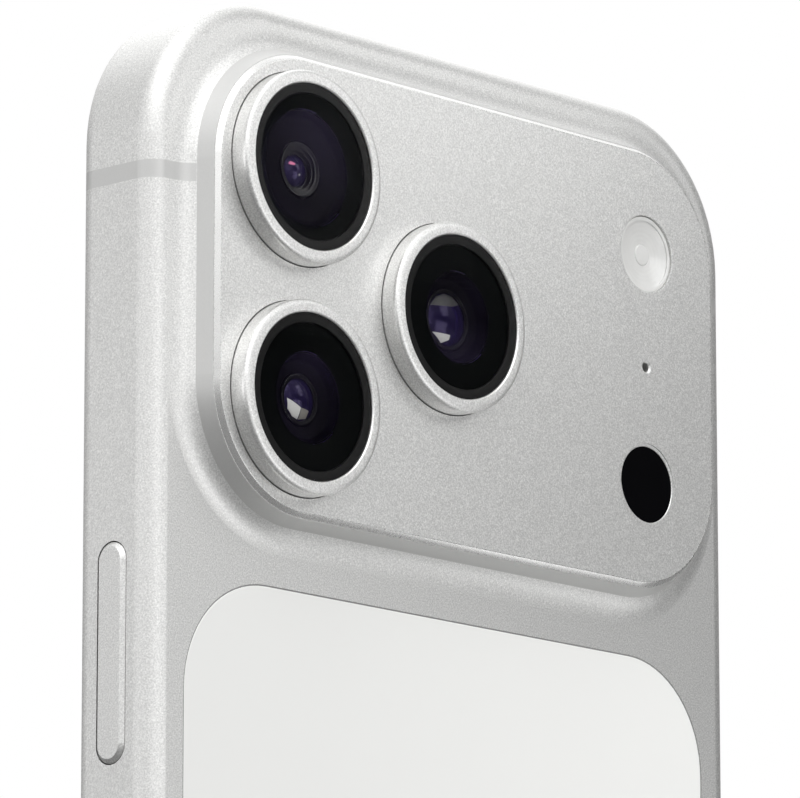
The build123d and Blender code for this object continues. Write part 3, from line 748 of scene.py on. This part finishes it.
@dataclass
class RearCamera:
    """One rear camera, from its metal ring down to its lens. Sizes are radii, depths and thicknesses."""

    phone: Phone
    name: str
    lens: Lens
    ring_radius: float = 8.12
    ring_bore: float = 6.3
    ring_flange: float = 8.6
    ring_foot: float = 9.6
    ring_top: float = 13.1
    plate_underside: float = 10.2
    cover_seat: float = 12.3
    cover_radius: float = 6.97
    cover_front: float = 12.88
    cover_back: float = 13.02
    mask_bore: float = 6.15
    sheet: float = 0.2
    play: float = 0.01
    dome_thickness: float = 0.07
    well_floor: float = 11.3
    barrel_radius: float = 3.2
    barrel_foot: float = 5.4
    barrel_shoulder: float = 10.9
    barrel_tip: float = 11.4
    lens_thickness: float = 0.4
    lens_sink: float = 0.12
    # How far the patches of painted reflection sink into and stand proud of the front lens.
    reflection_sink: float = 0.02
    reflection_lift: float = 0.012

    def build(self) -> None:
        """Makes the camera's pieces, outermost first."""
        self.centre = self.phone.axis(f"camera_ring_{self.name}")
        self.ring()
        self.cover()
        self.mask()
        self.cone()
        self.well()
        self.dome()
        self.barrel()
        self.glass()
        # Patches of painted reflection on the front lens.
        for i, painted_reflection in enumerate(self.lens.painted_reflections):
            self.painted_reflection(i, painted_reflection)

    def turned(
        self, part: str, profile: np.ndarray, finish: str, slot: Slot, moves: bool = False, columns: int = 144
    ) -> bpy.types.Object:
        """Makes one turned piece of the camera.

        Args:
            part: The end of the piece's name.
            profile: Its profile, as (radius, depth).
            finish: Its finish.
            slot: The record's slot of that finish.
            moves: Whether it focuses with the lens.
            columns: How many steps make a full turn.

        Returns:
            The piece.
        """
        piece = Piece(f"{self.name}_{part}").lathe(profile, self.centre, columns)
        body = f"{self.name}_lens_carrier" if moves else "phone"
        return piece.make(body, self.phone.finishes[finish], slot, 40)

    def ring(self) -> None:
        """The metal ring: a straight wall, a softly rounded lip, and a bore with a step for the cover."""
        bore, top, seat, lip = self.ring_bore, self.ring_top, self.cover_radius + 2 * self.play, 0.52
        profile = [(bore, self.ring_foot), (self.ring_flange, self.ring_foot)]
        profile += [(self.ring_flange, self.plate_underside), (self.ring_radius, self.plate_underside)]
        profile += [(self.ring_radius, top, lip), (seat + 0.11, top, 0.03), (seat, top - 0.13, 0.03)]
        profile += [(seat, self.cover_seat), (bore, self.cover_seat)]
        made = self.turned("ring", soften(profile, 8), "blasted_ring_painted_lighter", Slot.ALUMINIUM, columns=224)
        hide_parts(f"camera_ring_{self.name}")

    def cover(self) -> None:
        """The flat sapphire, with a bevelled rim."""
        edge, front, back, bevel, rounding = self.cover_radius, self.cover_front, self.cover_back, 0.05, 0.02
        profile = [(0, front), (edge, front), (edge, back - bevel, rounding)]
        profile += [(edge - bevel, back, rounding), (0, back)]
        made = self.turned("cover", soften(profile, 3), "sapphire_cover", Slot.SAPPHIRE)
        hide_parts(f"camera_glass_{self.name}")

    def mask(self) -> None:
        """The grey rim under the cover, with a bevel round its bore."""
        bore, edge, top = self.mask_bore, self.cover_radius - self.play, self.cover_front - self.play
        profile = [(bore, top - self.sheet), (edge, top - self.sheet), (edge, top)]
        profile += [(bore + 0.05, top, 0.01), (bore, top - 0.06, 0.01)]
        self.turned("mask", soften(profile, 2), "mask_print", Slot.MASK)

    def cone(self) -> None:
        """The black cone from the mask down to the dome's edge, and a lip under the dome."""
        lip, low = self.lens.dome_radius - 0.1, self.lens.dome_edge
        wall, top = self.ring_bore - 2 * self.play, self.cover_front - self.sheet - 3 * self.play
        profile = [(lip, low - self.sheet), (wall, low - self.sheet)]
        profile += [(wall, top), (self.mask_bore - 0.12, top)]
        profile += [(self.lens.dome_radius + 2 * self.play, low, 0.05), (lip, low)]
        self.turned("cone", soften(profile, 3), "window_print", Slot.MASK)

    def well(self) -> None:
        """The black well under the cone, and its floor round the barrel's nose."""
        edge, throat, floor = self.lens.dome_radius, self.lens.nose + 0.08, self.well_floor
        top, wall, slope, base = self.lens.dome_edge - self.sheet - 2 * self.play, 0.5, 0.1, 0.1
        profile = [(throat, floor - base), (edge + wall, floor - base), (edge + wall, top)]
        profile += [(edge - 0.1, top, 0.05), (edge - wall, floor + slope, 0.2)]
        profile += [(throat + slope, floor, 0.05)]
        self.turned("well", soften(profile, 4), "well_black", Slot.BLACK)

    def dome(self) -> None:
        """The coated dome behind the cover.

        Its height over its edge is the rise times 1 - (radius / edge)^2, on both faces.
        """
        across = np.linspace(0, 1, 33)
        radius = across * self.lens.dome_radius
        height = self.lens.dome_edge + self.lens.dome_rise * (1 - across**2) + self.play
        under, over = (np.stack([radius, height + lift], 1) for lift in (0.0, self.dome_thickness))
        self.turned("dome", np.concatenate([under, over[::-1]]), "dome_coating", Slot.LENS)

    def barrel(self) -> None:
        """The focusing barrel: a shoulder, a nose, and polished steps down to the lens."""
        foot, shoulder, level, nose = self.barrel_foot, self.barrel_shoulder, self.barrel_tip, self.lens.nose
        profile: list[tuple[float, ...]] = [(0, foot), (self.barrel_radius, foot, 0.1)]
        profile += [(self.barrel_radius, shoulder, 0.1), (nose, shoulder), (nose, level, 0.07)]
        for radius, drop in self.lens.steps:
            profile += [(radius, level, 0.05), (radius, level - drop)]
            level -= drop
        bore, seat = self.lens.radius + self.play, level - self.lens_thickness - self.play
        profile += [(bore, level, 0.03), (bore, seat), (0, seat)]
        made = self.turned("barrel", soften(profile, 4), "barrel_black", Slot.BLACK, True)
        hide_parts(f"lens_barrel_{self.name}")

    @property
    def lens_seat(self) -> float:
        """The depth of the barrel's innermost step, which the front lens stands in."""
        return self.barrel_tip - sum(drop for _, drop in self.lens.steps)

    def crown(self, radius: np.ndarray) -> np.ndarray:
        """The depth of the front lens's face: its edge's + its rise times (1 - (radius / rim)^2)^0.85."""
        share = np.clip(1 - (radius / self.lens.radius) ** 2, 0, 1)
        return self.lens_seat - self.lens_sink + self.lens.rise * share**0.85

    def glass(self) -> None:
        """The front lens, domed on the outside and flat inside."""
        radius, inside = np.linspace(0, self.lens.radius, 33), self.lens_seat - self.lens_thickness
        over = np.stack([radius, self.crown(radius)], 1)
        base = np.array([[0.0, inside], [self.lens.radius, inside]])
        made = self.turned("front_lens", np.concatenate([base, over[::-1]]), "lens_violet", Slot.LENS, True)
        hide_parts(f"lens_{self.name}")

    def painted_reflection(self, index: int, painted_reflection: PaintedReflection) -> None:
        """A patch of painted reflection that follows the front lens's crown, standing in for a highlight or
        reflection on the lens.

        A point is the outline's middle + t (outline - middle), lifted to the crown.
        """
        corners = np.array(painted_reflection.corners)
        count, steps = len(corners), 10
        share = np.arange(count * steps) / steps
        outline = np.stack([np.interp(share, range(count + 1), [*c, c[0]]) for c in corners.T], 1)
        middle, spread = corners.mean(0), np.linspace(0, 1, 9)[:, None, None]
        flat = middle + spread * (outline - middle)
        depth = self.crown(np.hypot(flat[..., 0], flat[..., 1]))
        lifts = (-self.reflection_sink, self.reflection_lift)
        under, over = (np.stack([flat[..., 0], depth + lift, flat[..., 1]], -1) for lift in lifts)
        loops = np.concatenate([under, over[::-1]]) * MM + np.array(self.centre)
        body, finish = f"{self.name}_lens_carrier", self.phone.finishes[painted_reflection.finish]
        Piece(f"{self.name}_facet_{index}").wrap(loops).make(body, finish, Slot.LENS, 60)


@dataclass
class Windows:
    """The flash and the depth sensor's window, each inside a polished rim. Sizes are radii and depths."""

    phone: Phone
    flash_middle: tuple[float, float] = (-0.1, -0.09)
    flash_bore: float = 3.40
    sensor_middle: tuple[float, float] = (0.12, -0.16)
    sensor_bore: float = 3.32
    rim_outer: float = 3.62
    rim_foot: float = 10.9
    flash_radius: float = 3.38
    flash_front: float = 10.35
    flash_face: float = 11.26
    bowl_radius: float = 3.0
    bowl_edge: float = 11.14
    bowl_depth: float = 0.34
    wave_height: float = 0.0025
    wave_pitch: float = 0.4
    boss_radius: float = 1.0
    boss_face: float = 10.92

    def build(self) -> None:
        """Makes the flash's lens and both rims, and dresses what is round them."""
        self.flash()
        self.rim("flash_lens", self.flash_middle, self.flash_bore)
        self.rim("depth_sensor_window", self.sensor_middle, self.sensor_bore)
        self.phone.dress(
            sensor_window=("depth_sensor_window",),
            phosphor=("flash_lamp",),
            black_plastic=("depth_sensor",),
            woven_mesh=("rear_microphone",),
        )

    def centre(self, node: str, middle: tuple[float, float]) -> Vector:
        """A point on a window's axis, with its small offset along X and Z."""
        return self.phone.axis(node) + Vector((middle[0], 0, middle[1])) * MM

    def rim(self, node: str, middle: tuple[float, float], bore: float) -> None:
        """A thin metal rim, hardly proud of the plateau's face, and polished inside."""
        top, rounding = self.phone.plate_face + self.phone.skin, 0.012
        profile = [(bore, self.rim_foot), (self.rim_outer, self.rim_foot), (self.rim_outer, top)]
        profile += [(bore + 0.04, top, rounding), (bore, top - 0.06, rounding)]
        piece = Piece(f"{node}_rim").lathe(soften(profile, 3), self.centre(node, middle), 144)
        piece.make("phone", self.phone.finishes["blasted_rim"], Slot.ALUMINIUM, 40)

    def flash(self) -> None:
        """The flash's lens: a raised lip, a shallow bowl of faint rings, and a small boss in the middle.

        Over the bowl the height is a parabola plus a small cosine wave of the radius.
        """
        edge, front, face = self.flash_radius, self.flash_front, self.flash_face
        brim = self.bowl_radius + 0.08
        lip = soften([(0, front), (edge, front), (edge, face, 0.14), (brim, face - 0.02, 0.1)], 5)
        radius = np.linspace(self.bowl_radius, self.boss_radius, 64)
        wave = self.wave_height * np.cos(2 * math.pi * (radius - self.boss_radius) / self.wave_pitch)
        level = self.bowl_edge - self.bowl_depth * (1 - (radius / self.bowl_radius) ** 2) + wave
        foot, top, side = self.boss_face - 0.11, self.boss_face, self.boss_radius - 0.14
        boss = soften([(self.boss_radius - 0.04, foot, 0.03), (side, top, 0.05), (0, top)], 4)
        profile = np.concatenate([lip, np.stack([radius, level], 1), boss])
        piece = Piece("flash_cover").lathe(profile, self.centre("flash_lens", self.flash_middle), 128)
        made = piece.make("phone", self.phone.finishes["frosted_flash"], Slot.FLASH, 50)
        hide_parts("flash_lens")


@dataclass
class Casing:
    """Housing, plateau, bands and back panel."""

    phone: Phone
    chamfer: float = 0.38
    plate_corner: float = 10.0
    panel_corner: float = 9.5
    panel_gap: float = 0.1
    back: float = 8.75

    def build(self) -> None:
        """Dresses the casing's pieces, and adds the plateau's bright edge and the back panel's seal."""
        self.phone.dress(
            blasted_aluminium=("housing", "plateau_plate"),
            antenna_plastic=("antenna_band", "lower_antenna_breaks"),
            etched_rear_glass=("rear_glass",),
            steel=("port_shell", "bottom_screws"),
            gold_contacts=("port_tongue",),
            woven_mesh=("sound_meshes", "earpiece_mesh"),
        )
        self.plateau_edge()
        self.gasket()

    def plateau_edge(self) -> None:
        """A thin skin over the plateau's chamfer, with a small round at each of its edges."""
        top, reach = self.phone.plate_face + self.phone.skin, self.chamfer + self.phone.skin
        lap, rounding, foot = 0.04, 0.03, top - reach - 0.06
        profile = [(-lap, top - 0.03), (-lap, top), (0.0, top, rounding), (reach, top - reach, rounding)]
        profile += [(reach, foot), (reach - 0.1, foot)]
        loops = framed("plateau_plate", self.chamfer, self.plate_corner, soften(profile, 4))
        piece = Piece("plateau_edge").wrap(loops)
        piece.make("phone", self.phone.finishes["cut_edge"], Slot.ALUMINIUM, 50)

    def gasket(self) -> None:
        """The grey seal in the narrow gap round the back panel."""
        top, low, lap = self.back - 0.05, self.back - 0.2, 0.02
        profile = [(-lap, low), (-lap, top), (self.panel_gap + lap, top), (self.panel_gap + lap, low)]
        loops = framed("rear_glass", 0.0, self.panel_corner, np.array(profile))
        Piece("rear_gasket").wrap(loops).make("phone", self.phone.finishes["gasket"], Slot.BLACK, 50)


@dataclass
class Keys:
    """The keys in the side walls, and the card tray."""

    phone: Phone

    def build(self) -> None:
        """Dresses the keys, the tray and what is behind them."""
        self.phone.dress(
            blasted_aluminium=(
                "side_button",
                "volume_up_button",
                "volume_down_button",
                "action_button",
                "card_tray",
                "camera_key",
            ),
            steel=("key_switches", "card_reader"),
        )


@dataclass
class Screen:
    """Cover glass, display and what looks out through it."""

    phone: Phone

    def build(self) -> None:
        """Dresses the screen's pieces."""
        self.phone.dress(
            front_cover=("front_glass",),
            display_black=("display_panel",),
            black_plastic=("display_frame", "front_camera", "face_sensor", "earpiece_speaker"),
            lens_violet=("front_camera_lens",),
        )


@dataclass
class Innards:
    """What is sealed inside."""

    phone: Phone

    def build(self) -> None:
        """Dresses the inner pieces, and lets the new wells and masks stand for the plain ones."""
        self.phone.dress(
            black_plastic=("camera_baffles", "camera_masks", "loudspeaker"),
            dark_metal=("camera_bodies",),
            steel=("camera_bracket", "haptic_case", "board_screws", "board_shields"),
            tungsten=("haptic_weight",),
            flex_film=("flex_cables", "speaker_diaphragm"),
            battery_wrap=("battery",),
            circuit_board=("logic_board",),
            copper=("vapor_chamber", "charging_coil"),
            ferrite=("coil_ferrite", "holding_magnets"),
        )
        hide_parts("camera_baffles")
        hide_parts("camera_masks")


# ---------------------------------------------------------------------------------------------
# Studio


def towards(azimuth: float, elevation: float) -> Vector:
    """The direction of an azimuth, from -Y towards +X, and an elevation, both in degrees."""
    a, e = math.radians(azimuth), math.radians(elevation)
    return Vector((math.sin(a) * math.cos(e), -math.cos(a) * math.cos(e), math.sin(e)))


@dataclass(frozen=True)
class Glow:
    """A wide soft patch of light in the surround, with its angles in degrees."""

    azimuth: float
    elevation: float
    strength: float

    def shine(self, g: Graph, way: bpy.types.NodeSocket) -> Value:
        """The patch's light along a direction: its strength times the fifth power of their cosine."""
        aim = {0: way, 1: towards(self.azimuth, self.elevation)}
        cosine = g.node("ShaderNodeVectorMath", {"operation": "DOT_PRODUCT"}, aim).outputs["Value"]
        return Value(g, cosine).math("MAXIMUM", 0.0) ** 5.0 * self.strength


@dataclass
class Softbox:
    """A rectangular lamp that faces the phone, in degrees, metres and watts."""

    name: str
    azimuth: float
    elevation: float
    distance: float
    size: tuple[float, float]
    power: float
    aim: tuple[float, float, float] = (0.0, 0.0, 0.12)

    def build(self) -> None:
        """Makes the lamp, unseen by the camera itself."""
        away = towards(self.azimuth, self.elevation)
        lamp = bpy.data.lights.new(self.name, "AREA")
        lamp.shape, (lamp.size, lamp.size_y), lamp.energy = "RECTANGLE", self.size, self.power
        made = bpy.data.objects.new(self.name, lamp)
        made.location = Vector(self.aim) + away * self.distance
        made.rotation_euler = away.to_track_quat("Z", "Y").to_euler()
        made.visible_camera = False
        bpy.context.scene.collection.objects.link(made)


@dataclass
class Studio:
    """Pale floor, soft light and the camera, in degrees and metres, with the lens in millimetres."""

    azimuth: float = 132.61
    pitch: float = 12.013
    distance: float = 0.56848
    lens: float = 300.1
    aim: tuple[float, float, float] = (-0.00136, -0.00507, 0.12132)
    floor_half: float = 6.0
    floor_return: float = 0.16
    glows: tuple[Glow, ...] = (
        Glow(77, -28, 3.70),
        Glow(47, 14, 0.61),
        Glow(137, 50, 2.80),
        Glow(337, 50, 1.40),
        Glow(290, 50, 0.85),
    )
    softboxes: tuple[Softbox, ...] = (
        Softbox("low_near", 200, -8, 0.3, (0.16, 0.16), 0.183),
        Softbox("high_near", 195, 38, 0.25, (0.14, 0.14), 0.033),
        Softbox("low_far", 165, 8, 0.3, (0.15, 0.15), 0.092),
        Softbox("close_high", 215, 30, 0.14, (0.06, 0.06), 0.0214),
        Softbox("close_side", 228, 28, 0.14, (0.06, 0.06), 0.003),
        Softbox("below", 240, -30, 0.14, (0.06, 0.06), 0.017, (0.0, 0.0, 0.107)),
    )

    def build(self) -> None:
        """Makes the floor, the world, the lamps and the camera."""
        self.floor()
        self.world()
        for softbox in self.softboxes:
            softbox.build()
        self.camera()
        bpy.context.scene.view_settings.view_transform = "Standard"

    def floor(self) -> None:
        """A large pale floor."""
        corners = np.array([(-1, -1, 0), (1, -1, 0), (1, 1, 0), (-1, 1, 0)], float) * self.floor_half
        mesh = bpy.data.meshes.new("floor")
        mesh.from_pydata(corners, [], [(0, 1, 2, 3)])
        g = Graph("pale_floor")
        tone = g.mix(g.noise(40.0), grey(0.86), grey(0.88))
        seen = Value(g, g.node("ShaderNodeLightPath").outputs["Is Camera Ray"])
        tone = g.mix(seen, grey(self.floor_return), tone)
        mesh.materials.append(g.finish(g.principled(Base_Color=tone, Roughness=0.6)))
        made = bpy.data.objects.new("floor", mesh)
        bpy.context.scene.collection.objects.link(made)

    def world(self) -> None:
        """A surround that is white where it is seen, and lights the phone with its glows."""
        world = bpy.data.worlds.new("surround")
        bpy.context.scene.world = world
        g = Graph("surround", world)
        way = g.node("ShaderNodeTexCoord").outputs["Generated"]
        total: Operand = 0.0
        for glow in self.glows:
            total = glow.shine(g, way) + total
        light = g.node("ShaderNodeBackground", {}, {"Color": grey(1.0), "Strength": total})
        seen = g.node("ShaderNodeBackground", {}, {"Color": grey(1.0), "Strength": 1.0})
        ray = g.node("ShaderNodeLightPath").outputs["Is Camera Ray"]
        g.finish(g.node("ShaderNodeMixShader", {}, {0: ray, 1: light.outputs[0], 2: seen.outputs[0]}))

    def camera(self) -> None:
        """A long lens, low down behind the phone, that looks up at its cameras."""
        data = bpy.data.cameras.new("camera")
        data.lens, data.sensor_width = self.lens, 36.0
        data.clip_start, data.clip_end = 0.01, 50.0
        made = bpy.data.objects.new("camera", data)
        away = towards(self.azimuth, -self.pitch)
        made.location = Vector(self.aim) + away * self.distance
        made.rotation_euler = away.to_track_quat("Z", "Y").to_euler()
        bpy.context.scene.collection.objects.link(made)
        bpy.context.scene.camera = made


# Each lens's patches of painted reflection are shapes of fixed colour on its front lens, where its highlights
# and reflections show.
CAMERAS = {
    "upper": Lens(
        dome_radius=4.93,
        dome_edge=12.1,
        dome_rise=0.4,
        nose=2.3,
        steps=((2.12, 0.1), (1.85, 0.2), (1.6, 0.3)),
        radius=1.35,
        rise=0.55,
        painted_reflections=(
            PaintedReflection(((0.98, 0.42), (0.78, 0.66), (0.36, 0.5), (0.42, 0.36), (0.72, 0.34)), "painted_rose_reflection"),
            PaintedReflection(((0.0, -0.36), (-0.12, -0.3), (-0.16, -0.42), (-0.04, -0.48)), "painted_pale_reflection"),
        ),
    ),
    "lower": Lens(
        dome_radius=3.83,
        dome_edge=12.3,
        dome_rise=0.3,
        nose=2.15,
        steps=((1.95, 0.08),),
        radius=1.75,
        rise=0.55,
        painted_reflections=(
            PaintedReflection(((1.5, -0.1), (0.15, -0.75), (0.2, -1.68), (0.8, -1.5), (1.35, -0.95)), "painted_pale_reflection"),
            PaintedReflection(((0.1, -0.75), (-0.95, -0.85), (-0.8, -1.5), (0.1, -1.68)), "painted_dim_reflection"),
        ),
    ),
    "side": Lens(
        dome_radius=3.95,
        dome_edge=12.5,
        dome_rise=-0.4,
        nose=2.6,
        steps=((2.4, 0.1),),
        radius=2.25,
        rise=0.6,
        painted_reflections=(
            PaintedReflection(((1.75, -1.3), (-0.1, -1.36), (-0.1, -1.75), (0.67, -2.1)), "painted_pale_reflection"),
            PaintedReflection(
                ((2.0, 0.95), (1.3, 1.8), (0.3, 2.2), (-0.7, 2.1), (-1.5, 1.5), (-0.3, 1.1)), "painted_smoke_reflection"
            ),
        ),
    ),
}


def main() -> None:
    """Builds the phone's looks in order, and the studio round it."""
    logging.basicConfig(level=logging.INFO, format="%(message)s")
    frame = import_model()
    phone = Phone(frame["nodes"])
    Casing(phone).build()
    for name, lens in CAMERAS.items():
        RearCamera(phone, name, lens).build()
    Windows(phone).build()
    Keys(phone).build()
    Screen(phone).build()
    Innards(phone).build()
    Studio().build()


if __name__ == "__main__":
    main()
